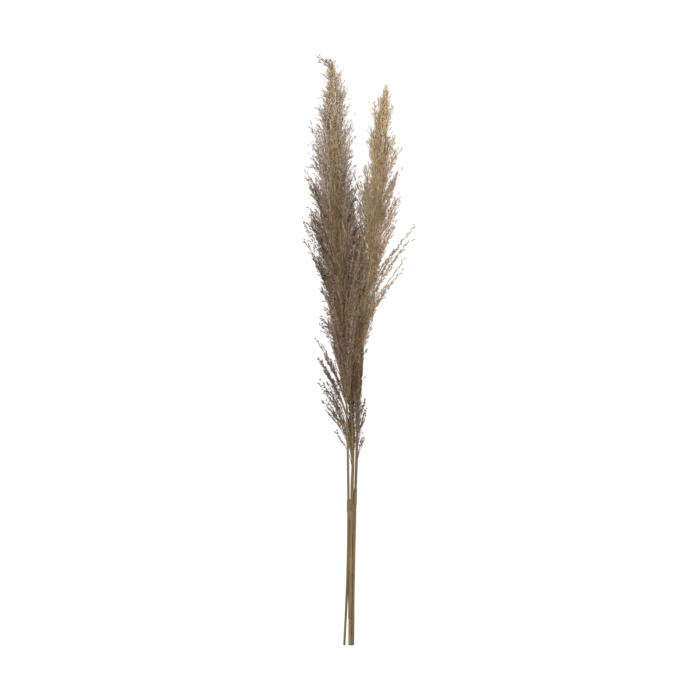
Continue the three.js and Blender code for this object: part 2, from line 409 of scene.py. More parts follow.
class Spine:
    """The middle line of a cane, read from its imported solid, and run on to its plume's tip."""

    def __init__(self, node: str, tip: float, bow: Profile, fullness: Profile) -> None:
        """Reads a cane's rings.

        Args:
            node: the cane's node.
            tip: the place along Y where the plume ends.
            bow: how far the dried cane bows sideways from its packed line, against the distance from its
                cut end, both in millimetres.
            fullness: its thickness in its dry skin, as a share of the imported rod's, against that distance.
        """
        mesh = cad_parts[node].data
        points = np.array([vertex.co for vertex in mesh.vertices], float)
        points = points[np.argsort(points[:, 1])]
        breaks = np.flatnonzero(np.diff(points[:, 1]) > RING_GAP) + 1
        rings = [ring for ring in np.split(points, breaks) if len(ring) > 3]
        lows = np.array([ring.min(0) for ring in rings])
        highs = np.array([ring.max(0) for ring in rings])
        self.middle = (lows + highs) / 2
        self.radius = (highs[:, 0] - lows[:, 0]) / 2
        self.start = float(self.middle[0, 1])
        self.end = float(self.middle[-1, 1])
        distance = (self.middle[:, 1] - self.start) / MM
        self.middle[:, 0] += read(bow, distance) * MM
        self.radius = self.radius * read(fullness, distance)
        slope = (self.middle[-1] - self.middle[-3]) / (self.end - self.middle[-3, 1])
        last = self.middle[-1] + slope * (tip - self.end)
        self.middle = np.vstack([self.middle, last])
        self.middle[:, 2] = np.maximum(self.middle[:, 2], np.append(self.radius, 0.0))
        self.radius = np.append(self.radius, self.radius[-1] * TIP_TAPER)

    def at(self, y: Array) -> Array:
        """Finds points on the line, on a smooth curve through the rings' middles.

        Args:
            y: places along Y.

        Returns:
            The points.
        """
        y = np.asarray(y, float)
        slope = np.gradient(self.middle, self.middle[:, 1], axis=0)
        i = np.clip(np.searchsorted(self.middle[:, 1], y) - 1, 0, len(self.middle) - 2)
        step = (self.middle[i + 1, 1] - self.middle[i, 1])[..., None]
        t = (y - self.middle[i, 1])[..., None] / step
        t2, t3 = t * t, t * t * t
        found = ((2 * t3 - 3 * t2 + 1) * self.middle[i] + (t3 - 2 * t2 + t) * step * slope[i]
                 + (3 * t2 - 2 * t3) * self.middle[i + 1] + (t3 - t2) * step * slope[i + 1])
        found[..., 1] = y
        return found

    def thickness(self, y: Array) -> Array:
        """The cane's radius at places along Y."""
        return np.interp(y, self.middle[:, 1], self.radius)

    def along(self, y: Array) -> Array:
        """The line's directions at places along Y."""
        step = 0.002
        return unit(self.at(np.asarray(y) + step) - self.at(np.asarray(y) - step))


class Strands:
    """Gathers closed rods, spindles and blades, and turns them into one mesh."""

    def __init__(self) -> None:
        """Starts with nothing."""
        self.points: list[Array] = []
        self.places: list[Array] = []
        self.faces: list[Array] = []
        self.count = 0

    def _keep(self, points: Array, places: Array, pattern: Array) -> None:
        """Adds things of one kind.

        Args:
            points: their vertices, many by corners by 3.
            places: each vertex's place on the colour map.
            pattern: the triangles of one thing.
        """
        many, corners = points.shape[0], points.shape[1]
        faces = pattern[None] + (np.arange(many) * corners)[:, None, None]
        self.points.append(points.reshape(-1, 3))
        self.places.append(np.clip(places, 0.01, 0.99).reshape(-1, 2))
        self.faces.append(faces.reshape(-1, 3) + self.count)
        self.count += many * corners

    @staticmethod
    def _spokes(along: Array) -> tuple[Array, Array]:
        """Two directions at right angles to others and to each other."""
        across = unit(np.cross(along, NEAR_UP))
        return across, np.cross(along, across)

    def blades(self, root: Array, middle: Array, tip: Array, width: Array, tint: Array,
               turn: Array) -> None:
        """Adds hairs: slim closed blades that are widest, and bent, at their middle.

        Args:
            root: where each starts.
            middle: the middle of its bent back.
            tip: where it ends.
            width: how wide it is there.
            tint: its place on the colour map.
            turn: which way it is wide, in radians round its length.
        """
        across, above = self._spokes(unit(tip - root))
        half = (across * np.cos(turn)[:, None] + above * np.sin(turn)[:, None]) * (width / 2)[:, None]
        points = np.stack([root, tip, middle - half, middle + half], 1)
        places = np.repeat(tint[:, None], 4, axis=1)
        places[:, :, 0] += np.array([0.0, 0.0, -STRAND_UV, STRAND_UV])
        places[:, :, 1] += np.array([-HAIR_FADE, HAIR_FADE, 0.0, 0.0])
        self._keep(points, places, np.array([[0, 2, 3], [1, 3, 2], [0, 1, 2], [0, 3, 1]]))

    def spindles(self, root: Array, middle: Array, tip: Array, width: Array, tint: Array) -> None:
        """Adds seeds: closed three-sided spindles.

        Args:
            root: where each starts.
            middle: its thickest place.
            tip: where it ends.
            width: how thick it is there.
            tint: its place on the colour map.
        """
        across, above = self._spokes(unit(tip - root))
        points = np.empty((len(root), 5, 3))
        points[:, 0], points[:, 4] = root, tip
        places = np.repeat(tint[:, None], 5, axis=1)
        places[:, 0, 1] -= SEED_FADE
        places[:, 4, 1] += SEED_FADE
        for k in range(3):
            angle = FULL_TURN * k / 3
            spoke = across * math.cos(angle) + above * math.sin(angle)
            points[:, 1 + k] = middle + spoke * (width / 2)[:, None]
            places[:, 1 + k, 0] += (k - 1) * STRAND_UV
        pattern = np.array([[0, 2, 1], [0, 3, 2], [0, 1, 3], [4, 1, 2], [4, 2, 3], [4, 3, 1]])
        self._keep(points, places, pattern)

    def rods(self, lines: Array, radii: Array, tint: Array, sides: int = 3) -> None:
        """Adds thin branches: closed rods along lines.

        Args:
            lines: the points of each line, many by steps by 3.
            radii: the radius at each step.
            tint: each rod's place on the colour map.
            sides: how many sides a rod has.
        """
        many, steps, _ = lines.shape
        across, above = self._spokes(unit(np.gradient(lines, axis=1)))
        angles = FULL_TURN * np.arange(sides) / sides
        spokes = across[:, :, None] * np.cos(angles)[:, None] + above[:, :, None] * np.sin(angles)[:, None]
        points = lines[:, :, None] + spokes * radii[:, None, None]
        places = np.empty((many, steps, sides, 2))
        places[...] = tint[:, None, None]
        places[..., 0] += (np.arange(sides) / (sides - 1) - 0.5) * 2 * STRAND_UV
        places[..., 1] += np.linspace(-ROD_FADE, ROD_FADE, steps)[:, None]
        last = (steps - 1) * sides
        ends = [[(0, k + 1, k), (last, last + k, last + k + 1)] for k in range(1, sides - 1)]
        pattern = np.concatenate([tube_faces(steps, sides), np.array(ends).reshape(-1, 3)])
        self._keep(points.reshape(many, steps * sides, 3), places.reshape(many, steps * sides, 2), pattern)

    def mesh(self, name: str, material: Material) -> Piece:
        """The gathered strands as one object that keeps to the bundle's room."""
        points = hold(np.concatenate(self.points))
        return make_mesh(name, points, np.concatenate(self.faces), material, np.concatenate(self.places))


def tube_faces(rings: int, sides: int) -> Array:
    """Makes the wall of a tube.

    Args:
        rings: how many rings it has, numbered one after the other.
        sides: how many vertices a ring has.

    Returns:
        The wall's triangles.
    """
    ring = np.arange(sides)
    after = (ring + 1) % sides
    low = (np.arange(rings - 1) * sides)[:, None]
    first = np.stack([low + ring, low + after, low + sides + after], -1)
    second = np.stack([low + ring, low + sides + after, low + sides + ring], -1)
    return np.concatenate([first.reshape(-1, 3), second.reshape(-1, 3)])


def make_mesh(name: str, points: Array, faces: Array, material: Material,
              places: Array | None = None) -> Piece:
    """Makes a smooth mesh object.

    Args:
        name: its name.
        points: its vertices.
        faces: its triangles, or its quads.
        material: its material.
        places: each vertex's place on the colour map, if it has one.

    Returns:
        The object, in the scene.
    """
    mesh = bpy.data.meshes.new(name)
    corners = faces.shape[1]
    mesh.vertices.add(len(points))
    mesh.vertices.foreach_set("co", points.astype(np.float32).ravel())
    mesh.loops.add(faces.size)
    mesh.loops.foreach_set("vertex_index", faces.astype(np.int32).ravel())
    mesh.polygons.add(len(faces))
    mesh.polygons.foreach_set("loop_start", np.arange(0, faces.size, corners, dtype=np.int32))
    mesh.polygons.foreach_set("use_smooth", np.ones(len(faces), bool))
    if places is not None:
        layer = mesh.uv_layers.new(name=UV_MAP)
        layer.uv.foreach_set("vector", places[faces.ravel()].astype(np.float32).ravel())
    mesh.update(calc_edges=True)
    mesh.validate()
    mesh.materials.append(material)
    thing = bpy.data.objects.new(name, mesh)
    bpy.context.scene.collection.objects.link(thing)
    return thing


def attach(piece: Piece, slot: Slot, *nodes: str) -> None:
    """Lets a piece ride on the bundle and stand for its nodes.

    Args:
        piece: the piece.
        slot: its material slot; not used.
        *nodes: the nodes that it stands for.
    """
    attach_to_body(piece, BODY)
    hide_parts(*nodes)
    LOG.info("%s: %d faces", piece.name, len(piece.data.polygons))


# ---- Branches with their seed hairs ----


@dataclass(frozen=True)
class Seeds:
    """The seeds along a strand and the hairs round each seed: lengths in metres, angles in radians."""

    pitch: float
    length: float
    width: float
    angle: float
    hairs: int
    hair_length: float
    hair_width: float
    hair_angle: float
    strand_radius: float = 0.0002
    strand_taper: float = 0.5
    angles: Range = (0.3, 1.5)  # each one's, as a share of the usual
    sizes: Range = (0.75, 1.2)
    widths: Range = (0.7, 1.2)
    hair_angles: Range = (0.2, 1.6)
    hair_sizes: Range = (0.6, 1.2)
    hair_widths: Range = (0.7, 1.25)
    thickest: float = 0.4  # where a seed is thickest, as a share of its length
    bend: float = 0.45  # where a hair bends, as a share of its length

    def dress(self, strands: Strands, lines: Array, tints: Array, rng: Rng, bare: float = 0.0) -> None:
        """Adds strands along lines, with their seeds and hairs.

        Args:
            strands: what they are added to.
            lines: the strands' points, many by steps by 3.
            tints: each strand's place on the colour map.
            rng: where the variation comes from.
            bare: the share of each strand, from its root, that carries nothing.
        """
        radii = np.linspace(1.0, self.strand_taper, lines.shape[1]) * self.strand_radius
        strands.rods(lines, radii, tints - [0.0, STRAND_SHADE])
        root, along, owner, _ = spaced(lines, self.pitch, bare, rng)
        count = len(root)
        tint = tints[owner] + rng.normal(0.0, SEED_TINT, (count, 2))
        aim = fan(along, self.angle * rng.uniform(*self.angles, count), rng.uniform(0, FULL_TURN, count))
        size = self.length * rng.uniform(*self.sizes, count)
        middle, tip = root + aim * (size * self.thickest)[:, None], root + aim * size[:, None]
        width = self.width * rng.uniform(*self.widths, count)
        strands.spindles(root, middle, tip, width, tint - [0.0, SEED_SHADE])
        self._hairs(strands, root, aim, tint, rng)

    def _hairs(self, strands: Strands, root: Array, aim: Array, tints: Array, rng: Rng) -> None:
        """Adds the hairs that stand round each seed.

        Args:
            strands: what they are added to.
            root: where each seed starts.
            aim: which way each seed points.
            tints: each seed's place on the colour map.
            rng: where the variation comes from.
        """
        root = np.repeat(root, self.hairs, axis=0)
        aim = np.repeat(aim, self.hairs, axis=0)
        count = len(root)
        tint = np.repeat(tints, self.hairs, axis=0) + rng.normal(0.0, HAIR_TINT, (count, 2))
        tint[0], tint[-1] = (0.05, 0.05), (0.95, 0.95)  # a dark and a pale one in every handful
        turn = rng.uniform(0, FULL_TURN, count)
        angle = self.hair_angle * rng.uniform(*self.hair_angles, count)
        size = self.hair_length * rng.uniform(*self.hair_sizes, count)
        middle = root + fan(aim, angle / 2, turn) * (size * self.bend)[:, None]
        tip = root + fan(aim, angle, turn) * size[:, None]
        width = self.hair_width * rng.uniform(*self.hair_widths, count)
        strands.blades(root, middle, tip, width, tint, rng.uniform(0, math.pi, count))


@dataclass(frozen=True)
class Feather:
    """How a branch carries side strands; without a pitch its seeds sit on the branch itself."""

    seeds: Seeds
    pitch: float = 0.0
    length: float = 0.034
    angle: float = 0.42
    bare: float = 0.15
    radius: float = 0.0004
    taper: float = 0.35  # its radius at its tip, as a share of that at its root
    lengths: Range = (0.6, 1.25)  # each side strand's, as a share of the usual
    lowest: float = 1.15  # the usual length of side strands low on a branch
    drop: float = 0.7  # how much shorter they are at its tip
    angles: Range = (0.5, 1.4)
    last_angles: Range = (0.2, 1.9)
    sway: float = 0.5  # how much their tips turn aside, in radians
    steps: int = 5

    def grow(self, strands: Strands, lines: Array, tints: Array, rng: Rng) -> None:
        """Adds branches and all that they carry.

        Args:
            strands: what they are added to.
            lines: the branches' points, many by steps by 3.
            tints: each branch's place on the colour map.
            rng: where the variation comes from.
        """
        if not self.pitch:
            self.seeds.dress(strands, lines, tints, rng, self.bare)
            return
        strands.rods(lines, np.linspace(1.0, self.taper, lines.shape[1]) * self.radius, tints, 4)
        root, along, owner, share = spaced(lines, self.pitch, self.bare, rng)
        many = len(root)
        length = self.length * (self.lowest - self.drop * share) * rng.uniform(*self.lengths, many)
        turn = rng.uniform(0.0, FULL_TURN, many)
        angle = self.angle * rng.uniform(*self.angles, many)
        first = fan(along, angle, turn)
        last_angle = angle * rng.uniform(*self.last_angles, many)
        last = fan(along, last_angle, turn + rng.normal(0.0, self.sway, many))
        t = np.linspace(0.0, 1.0, self.steps)[None, :, None]
        blend = first[:, None] * (1 - t / 2) + last[:, None] * (t / 2)
        sides = root[:, None] + blend * t * length[:, None, None]
        self.seeds.dress(strands, sides, tints[owner] + rng.normal(0.0, BRANCH_TINT, (many, 2)), rng)


def spaced(lines: Array, pitch: float, bare: float, rng: Rng) -> tuple[Array, Array, Array, Array]:
    """Spreads places along lines.

    Args:
        lines: the lines, many by steps by 3.
        pitch: how far apart the places are, roughly.
        bare: the share of each line, from its root, that has none.
        rng: where the variation comes from.

    Returns:
        The places, the directions there, which line each is on and its share of that line.
    """
    length = np.linalg.norm(np.diff(lines, axis=1), axis=2).sum(1) * (1 - bare)
    many = np.maximum(2, (length / pitch).astype(int))
    owner = np.repeat(np.arange(len(lines)), many)
    order = np.arange(len(owner)) - np.repeat(np.cumsum(many) - many, many)
    share = bare + (1 - bare) * (order + rng.uniform(0.1, 1.0, len(owner))) / many[owner]
    share = np.clip(share, 0.0, 0.999)
    place = share * (lines.shape[1] - 1)
    i = place.astype(int)
    part = (place - i)[:, None]
    before, after = lines[owner, i], lines[owner, i + 1]
    return before * (1 - part) + after * part, unit(after - before), owner, share


def arcs(root: Array, first: Array, last: Array, tip: Array, steps: int) -> Array:
    """Draws smooth lines from roots to tips.

    Args:
        root: where each starts.
        first: how far and which way it sets off.
        last: how far and which way it arrives.
        tip: where it ends.
        steps: points on each line.

    Returns:
        The points, many by steps by 3.
    """
    t = np.linspace(0.0, 1.0, steps)[None, :, None]
    a, b = (root + first)[:, None], (tip - last)[:, None]
    return (root[:, None] * (1 - t) ** 3 + 3 * a * t * (1 - t) ** 2 + 3 * b * t**2 * (1 - t)
            + tip[:, None] * t**3)


@dataclass(frozen=True)
class Layer:
    """One kind of branch in a plume, all alike but for chance."""

    count: int
    feather: Feather
    reach: Range  # the branches' length, as a share of the plume's
    fullness: Range  # how near the layer's own edge the tips are
    # its place from grey taupe to gold on the colour map; gold partly stands for painted light, taupe partly
    # for painted shade
    hue: float
    light: float = 0.0  # over the plume's own
    within: Profile = ((0.0, 1.0), (1.0, 1.0))  # the layer's edge, as a share of the plume's
    lowest: float = -0.02
    highest: float = 0.97
    flat: float = 3.0  # how widely the branches are spread out of the lying plane, in radians
    gathered: float = 0.5  # 0.5 spreads the tips evenly, more gathers them in the middle
    lean: float = 0.25  # how far outwards a branch sets off
    curl: float = 0.4  # how far outwards its tip turns
    curls: Range = (0.2, 1.3)  # each one's, as a share of that
    topmost: float = 1.0  # the highest that a tip comes, as a share of the plume's length
    clump_shade: float = 0.08  # painted light and shade: how much lighter or darker clumps of neighbours are made, for the shading of tufts
    pull: float = 0.3  # how far the tips of a clump are drawn together


@dataclass(frozen=True)
class Tuft:
    """A few branches whose tips run together and stand out of a plume's outline."""

    share: float  # where its tip is, as a share of the plume's length
    out: float  # how far its tip stands out from the cane, in millimetres, left being less than 0
    reach: float = 0.12
    strands: int = 6
    spread: float = 3.0  # in millimetres
    drops: Range = (0.0, 0.03)  # how far below its tip each strand's is, as a share of the plume's length
    reaches: Range = (0.7, 1.2)  # each one's, as a share of the reach


@dataclass
class Plume:
    """A feathery head: layers of branches round the upper part of a cane."""

    name: str
    slot: Slot
    finish: HairFinish
    left: Profile  # how far it stands out to the left, in millimetres
    right: Profile
    height: float  # half of it, at its fullest, in millimetres
    # how light its hairs are along it, darker towards the base: partly painted shade in the dense lower
    # part, partly the hairs' own colour
    light: Profile
    layers: Sequence[Layer]
    tuft_feather: Feather
    warmth: Profile = ((0.0, 0.0), (1.0, 0.0))  # added to its hue
    tufts: Sequence[Tuft] = ()
    tuft_tint: tuple[float, float] = (0.6, 0.0)  # its hue, and how much lighter than the plume it is
    pieces: int = 3
    seed: int = 1

    def build(self, spine: Spine) -> None:
        """Grows the plume's pieces, from its base to its tip.

        Args:
            spine: its cane's middle line.
        """
        rng = np.random.default_rng(self.seed)
        low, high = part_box(f"{self.name}_plume")
        parts = [Strands() for _ in range(self.pieces)]
        for layer in self.layers:
            lines, tints, order = self._branches(layer, spine, low.y, high.y, rng)
            for strands, chosen in zip(parts, np.array_split(order, self.pieces)):
                layer.feather.grow(strands, lines[chosen], tints[chosen], rng)
        for tuft in self.tufts:
            chosen = min(self.pieces - 1, int(tuft.share * self.pieces))
            lines, tints = self._tuft(tuft, spine, low.y, high.y, rng)
            self.tuft_feather.grow(parts[chosen], lines, tints, rng)
        material = self.finish.material()
        for k, strands in enumerate(parts):
            piece = strands.mesh(f"{self.name}_plume_hair_{k + 1}", material)
            attach(piece, self.slot, f"{self.name}_plume")

    def _tuft(self, tuft: Tuft, spine: Spine, base: float, top: float, rng: Rng) -> tuple[Array, Array]:
        """Draws one tuft.

        Args:
            tuft: the tuft.
            spine: the cane's middle line.
            base: where the plume starts along Y.
            top: where it ends.
            rng: where the variation comes from.

        Returns:
            The tuft's lines and their places on the colour map.
        """
        count, length = tuft.strands, top - base
        tip_share = tuft.share - rng.uniform(*tuft.drops, count)
        root_share = tip_share - tuft.reach * rng.uniform(*tuft.reaches, count)
        tip = spine.at(base + tip_share * length)
        tip[:, 0] += (tuft.out + rng.normal(0.0, tuft.spread, count)) * MM
        tip[:, 2] += rng.normal(0.0, 2 * tuft.spread, count) * MM
        root = spine.at(base + root_share * length)
        run = tip - root
        lines = arcs(root, run * TUFT_SETS_OFF, run * TUFT_ARRIVES, tip, LINE_STEPS)
        tints = np.empty((count, 2))
        tints[:, 0] = self.tuft_tint[0] + rng.normal(0.0, BRANCH_TINT, count)
        tints[:, 1] = read(self.light, tip_share) + self.tuft_tint[1] + rng.normal(0.0, TUFT_NOISE, count)
        return lines, tints

    def _branches(self, layer: Layer, spine: Spine, base: float, top: float,
                  rng: Rng) -> tuple[Array, Array, Array]:
        """Draws one layer.

        Args:
            layer: the layer.
            spine: the cane's middle line.
            base: where the plume starts along Y.
            top: where it ends.
            rng: where the variation comes from.

        Returns:
            The layer's lines, their places on the colour map and their order from base to tip.
        """
        length, count = top - base, layer.count
        order = (np.arange(count) + rng.uniform(0, 1, count)) / count
        root_share = layer.lowest + (layer.highest - layer.lowest) * order
        reach = rng.uniform(*layer.reach, count)
        tip_share = np.minimum(root_share + reach, layer.topmost - TIP_DROP * rng.uniform(0, 1, count) ** 2)
        turn = np.where(rng.uniform(0, 1, count) < 0.5, 0.0, math.pi)
        turn += rng.uniform(-0.5, 0.5, count) * layer.flat
        spread = rng.uniform(0.0, 1.0, count) ** layer.gathered
        fullness = layer.fullness[0] + (layer.fullness[1] - layer.fullness[0]) * spread
        edge = fullness * read(layer.within, tip_share) * MM
        cosine, sine = np.cos(turn), np.sin(turn)
        wide = np.where(cosine < 0, read(self.left, tip_share), read(self.right, tip_share))
        both = read(self.left, tip_share) + read(self.right, tip_share)
        most = max(max(w for _, w in self.left), max(w for _, w in self.right))
        tall = self.height * both / (2 * most)
        middle, along = spine.at(base + tip_share * length), spine.along(base + tip_share * length)
        across, above = sides_of(along)
        out = across * (cosine * wide * edge)[:, None] + above * (sine * tall * edge)[:, None]
        clump = ((tip_share + CLUMPS_FROM) * CLUMP_ROWS).astype(int) * CLUMP_COLUMNS
        clump += ((turn % FULL_TURN) / FULL_TURN * CLUMP_COLUMNS).astype(int)
        tip = self._draw_together(middle + out, clump, layer.pull)
        root_y = base + root_share * length
        root = spine.at(root_y)
        run = np.linalg.norm(tip - root, axis=1)[:, None]
        first = unit(spine.along(root_y) + layer.lean * unit(out)) * run * SETS_OFF
        curl = layer.curl * unit(out) * rng.uniform(*layer.curls, count)[:, None]
        last = unit(along + curl) * run * ARRIVES
        tints = np.empty((count, 2))
        warmth = read(self.warmth, tip_share) * (layer.hue > WARM_FROM)
        tints[:, 0] = layer.hue + warmth + rng.normal(0.0, HUE_NOISE, count)
        tints[:, 1] = read(self.light, tip_share) + layer.light + rng.normal(0.0, LIGHT_NOISE, count)
        # Painted light and shade: clumps of neighbouring branches are made lighter or darker together, as
        # tufts are shaded
        shades = np.random.default_rng(self.seed + 1).normal(0.0, 1.0, 2 * CLUMP_ROWS * CLUMP_COLUMNS)
        tints[:, 1] += layer.clump_shade * shades[clump]
        return arcs(root, first, last, tip, LINE_STEPS), tints, np.argsort(root_share)

    @staticmethod
    def _draw_together(tips: Array, clump: Array, pull: float) -> Array:
        """Draws tips towards the middle of their clump.

        Args:
            tips: the tips.
            clump: the number of each one's clump.
            pull: how far, as a share of the way.

        Returns:
            The drawn tips.
        """
        total = np.zeros((clump.max() + 1, 3))
        np.add.at(total, clump, tips)
        many = np.bincount(clump)[:, None]
        centre = total / np.maximum(many, 1)
        return tips + (centre[clump] - tips) * pull


@dataclass(frozen=True)
class LooseGroup:
    """Branches that stand clear of their plume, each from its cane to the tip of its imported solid."""

    nodes: str  # what the solids' names begin with
    owner: str
    side: Side
    slot: Slot
    feather: Feather
    tint: tuple[float, float]
    insets: Sequence[float]  # how much nearer to the cane each branch's tip is, in millimetres
    first: int = 1  # the first solid's number; 0 for a solid without one
    back: float = 0.0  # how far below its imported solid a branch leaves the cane
    twigs: int = 2  # lines that a branch is split into
    apart: float = 0.17  # how much shorter each is than the one before
    spread: float = 0.006
    late: float = 0.5  # how late a branch turns aside
    short: float = 0.0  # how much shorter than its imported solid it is

    def build(self, spine: Spine, material: Material, rng: Rng) -> None:
        """Grows every branch of the group.

        Args:
            spine: their cane's middle line.
            material: their material.
            rng: where the variation comes from.
        """
        for k, inset in enumerate(self.insets):
            node = f"{self.nodes}_{self.first + k}" if self.first else self.nodes
            lines = self._twigs(node, inset * MM, spine, rng)
            tints = np.array(self.tint) + rng.normal(0, BRANCH_TINT, (self.twigs, 2))
            strands = Strands()
            self.feather.grow(strands, lines, tints, rng)
            piece = strands.mesh(f"{node}_twigs", material)
            attach(piece, self.slot, node)

    def _twigs(self, node: str, inset: float, spine: Spine, rng: Rng) -> Array:
        """Draws one branch.

        Args:
            node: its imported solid.
            inset: how much nearer to the cane its tip is.
            spine: the cane's middle line.
            rng: where the variation comes from.

        Returns:
            Its lines.
        """
        low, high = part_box(node)
        tip_x = low.x + inset if self.side is Side.LEFT else high.x - inset
        tip = np.array([[tip_x, high.y, (low.z + high.z) / 2]])
        root = spine.at(np.array([low.y - self.back]))
        lines = []
        for k in range(self.twigs):
            end = tip - (tip - root) * (self.apart * k + self.short)
            end += rng.normal(0, self.spread, 3) * [1, 0.5, 0.4] * (k > 0)
            run = end - root
            first = run * [THIRD * (1 - self.late), 0.4, 0.3]
            last = run * [THIRD * (1 + self.late), THIRD, 0.3]
            lines.append(arcs(root, first, last, end, TWIG_STEPS))
        return np.concatenate(lines)


# ---- Canes and sheaths ----


@dataclass
class Culm:
    """A cane: a tapered rod with swollen joints, a fluted skin and a pithy cut end."""

    name: str
    finish: CaneFinish
    joints: Sequence[float]  # how far each joint is from the cut end
    bow: Profile  # how far it bows sideways from its packed line, against that distance, in millimetres
    fullness: Profile  # its thickness in its dry skin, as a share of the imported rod's
    sides: int = 20
    step: float = 0.004
    swelling: float = 0.00055
    swelling_length: float = 0.004
    flute: float = 0.00009
    flutes: int = 5
    flute_turn: float = 4.0  # how far the flutes wind, in radians per metre
    dip: float = 0.4  # how deep the skin dips beside a joint, as a share of the swelling
    dip_place: float = 1.6  # how far from the joint, as a share of the swelling's length
    pith_depth: float = 0.0012
    pith_share: float = 0.8
    wall_share: float = 0.3

    def build(self, spine: Spine) -> None:
        """Makes the cane.

        Args:
            spine: its middle line.
        """
        ys = np.arange(spine.start, spine.end, self.step)
        ys = np.append(ys, spine.end)
        middle, along = spine.at(ys), spine.along(ys)
        across, above = sides_of(along)
        radius = spine.thickness(ys)
        for joint in self.joints:
            away = (ys - spine.start - joint) / self.swelling_length
            radius = radius + self.swelling * np.exp(-away * away)
            radius = radius - self.swelling * self.dip * np.exp(-(away - self.dip_place) ** 2)
        angles = FULL_TURN * np.arange(self.sides) / self.sides
        waves = np.cos(angles * self.flutes + ys[:, None] * self.flute_turn)
        flutes = 1 + self.flute / radius[:, None] * waves
        rings = (middle[:, None] + (across[:, None] * np.cos(angles)[:, None]
                 + above[:, None] * np.sin(angles)[:, None]) * (radius[:, None] * flutes)[..., None])
        cut = self._cut(rings[0], middle[0], along[0])
        points = np.concatenate([cut, rings.reshape(-1, 3), middle[-1:]])
        points[:, 2] = np.maximum(points[:, 2], 0.0)
        faces = self._faces(len(ys) + 2, len(points))
        piece = make_mesh(f"{self.name}_cane", points, faces, self.finish.material())
        attach(piece, Slot.CULM, f"{self.name}_culm")

    def _cut(self, rim: Array, middle: Array, along: Array) -> Array:
        """Makes the sunken pith of the cut end.

        Args:
            rim: the first ring.
            middle: its middle.
            along: the cane's direction there.

        Returns:
            The pith's middle point, its floor and the wall's inner edge.
        """
        inner = middle + (rim - middle) * (1 - self.wall_share)
        sunk = middle + (inner - middle) * self.pith_share + along * self.pith_depth
        return np.concatenate([[middle + along * self.pith_depth * self.pith_share], sunk, inner])

    def _faces(self, rings: int, count: int) -> Array:
        """Covers the rings, and closes them by a point at each end.

        Args:
            rings: how many there are.
            count: how many vertices there are.

        Returns:
            The triangles.
        """
        ring = np.arange(self.sides)
        after = (ring + 1) % self.sides
        floor = np.stack([np.zeros_like(ring), after + 1, ring + 1], -1)
        top = (rings - 1) * self.sides + 1
        end = np.stack([np.full_like(ring, count - 1), top + ring, top + after], -1)
        return np.concatenate([floor, tube_faces(rings, self.sides) + 1, end])


@dataclass
class Sheath:
    """A dried leaf sheath: a thin ribbed wall round part of a cane, torn at its upper end."""

    name: str
    finish: CaneFinish
    start: float  # degrees, from which side it wraps
    sweep: float
    flap: float = 0.0
    wall: float = 0.0004
    gap: float = 0.0002
    tear: float = 0.009
    upper_tear: Range = (-1.0, 0.2)  # as shares of the tear
    lower_tear: Range = (-0.2, 0.8)
    upper_teeth: int = 9
    lower_teeth: int = 6
    flap_share: float = 0.3  # of its width
    rib: float = 0.00006
    rib_waves: float = 60.0  # round it, in radians
    around: int = 28
    lengthwise: int = 30
    seed: int = 5

    def build(self, spine: Spine) -> None:
        """Makes the sheath.

        Args:
            spine: its cane's middle line.
        """
        rng = np.random.default_rng(self.seed)
        low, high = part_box(f"{self.name}_sheath")
        share = np.linspace(0.0, 1.0, self.around)
        upper = self._ragged(share, self.upper_teeth, self.upper_tear, rng)
        lower = self._ragged(share, self.lower_teeth, self.lower_tear, rng)
        faces_in, faces_out = [], []
        for k in range(self.lengthwise):
            t = k / (self.lengthwise - 1)
            ys = low.y + lower + (high.y - low.y + upper - lower) * t
            faces_in.append(self._row(spine, ys, share, self.gap))
            faces_out.append(self._row(spine, ys, share, self.gap + self.wall))
        points = np.concatenate([np.stack(faces_out).reshape(-1, 3), np.stack(faces_in).reshape(-1, 3)])
        points[:, 2] = np.maximum(points[:, 2], 0.0)
        piece = make_mesh(f"{self.name}_leaf_sheath", points, self._faces(), self.finish.material())
        attach(piece, Slot.SHEATH, f"{self.name}_sheath")

    def _ragged(self, share: Array, teeth: int, tear: Range, rng: Rng) -> Array:
        """How far a torn edge stands off, at shares of its width."""
        return np.interp(share, np.linspace(0, 1, teeth), rng.uniform(*tear, teeth)) * self.tear

    def _row(self, spine: Spine, ys: Array, share: Array, stand: float) -> Array:
        """Makes one row of points round the cane, those of a flap first.

        Args:
            spine: the cane's middle line.
            ys: the points' places along Y.
            share: their shares of the sheath's width.
            stand: how far they stand off the cane.

        Returns:
            The points.
        """
        across, above = sides_of(spine.along(ys))
        radius = spine.thickness(ys) + stand + self.rib * np.cos(share * self.rib_waves)
        wide = self.flap_share
        on_flap = np.clip(wide - share, 0.0, wide) / wide * (self.flap > 0)
        round_share = np.clip((share - wide) / (1 - wide), 0, 1) if self.flap > 0 else share
        angle = np.radians(self.start + self.sweep * round_share)
        x = radius * np.cos(angle) + np.sin(angle) * on_flap * self.flap
        z = radius * np.sin(angle) - np.cos(angle) * on_flap * self.flap
        return spine.at(ys) + across * x[:, None] + above * z[:, None]

    def _faces(self) -> Array:
        """Covers both sides of the wall and its four edges.

        Returns:
            The quads.
        """
        wide, long = self.around, self.lengthwise
        grid = np.arange(wide * long).reshape(long, wide)
        inner = grid + wide * long
        outer = np.stack([grid[:-1, :-1], grid[:-1, 1:], grid[1:, 1:], grid[1:, :-1]], -1).reshape(-1, 4)
        back = np.stack([inner[:-1, :-1], inner[1:, :-1], inner[1:, 1:], inner[:-1, 1:]], -1).reshape(-1, 4)
        loop = np.concatenate([grid[0], grid[1:, -1], grid[-1, -2::-1], grid[-2:0:-1, 0]])
        rim = np.stack([loop, loop + wide * long, np.roll(loop, -1) + wide * long, np.roll(loop, -1)], -1)
        return np.concatenate([outer, back, rim])[:, ::-1]


# ---- The studio ----


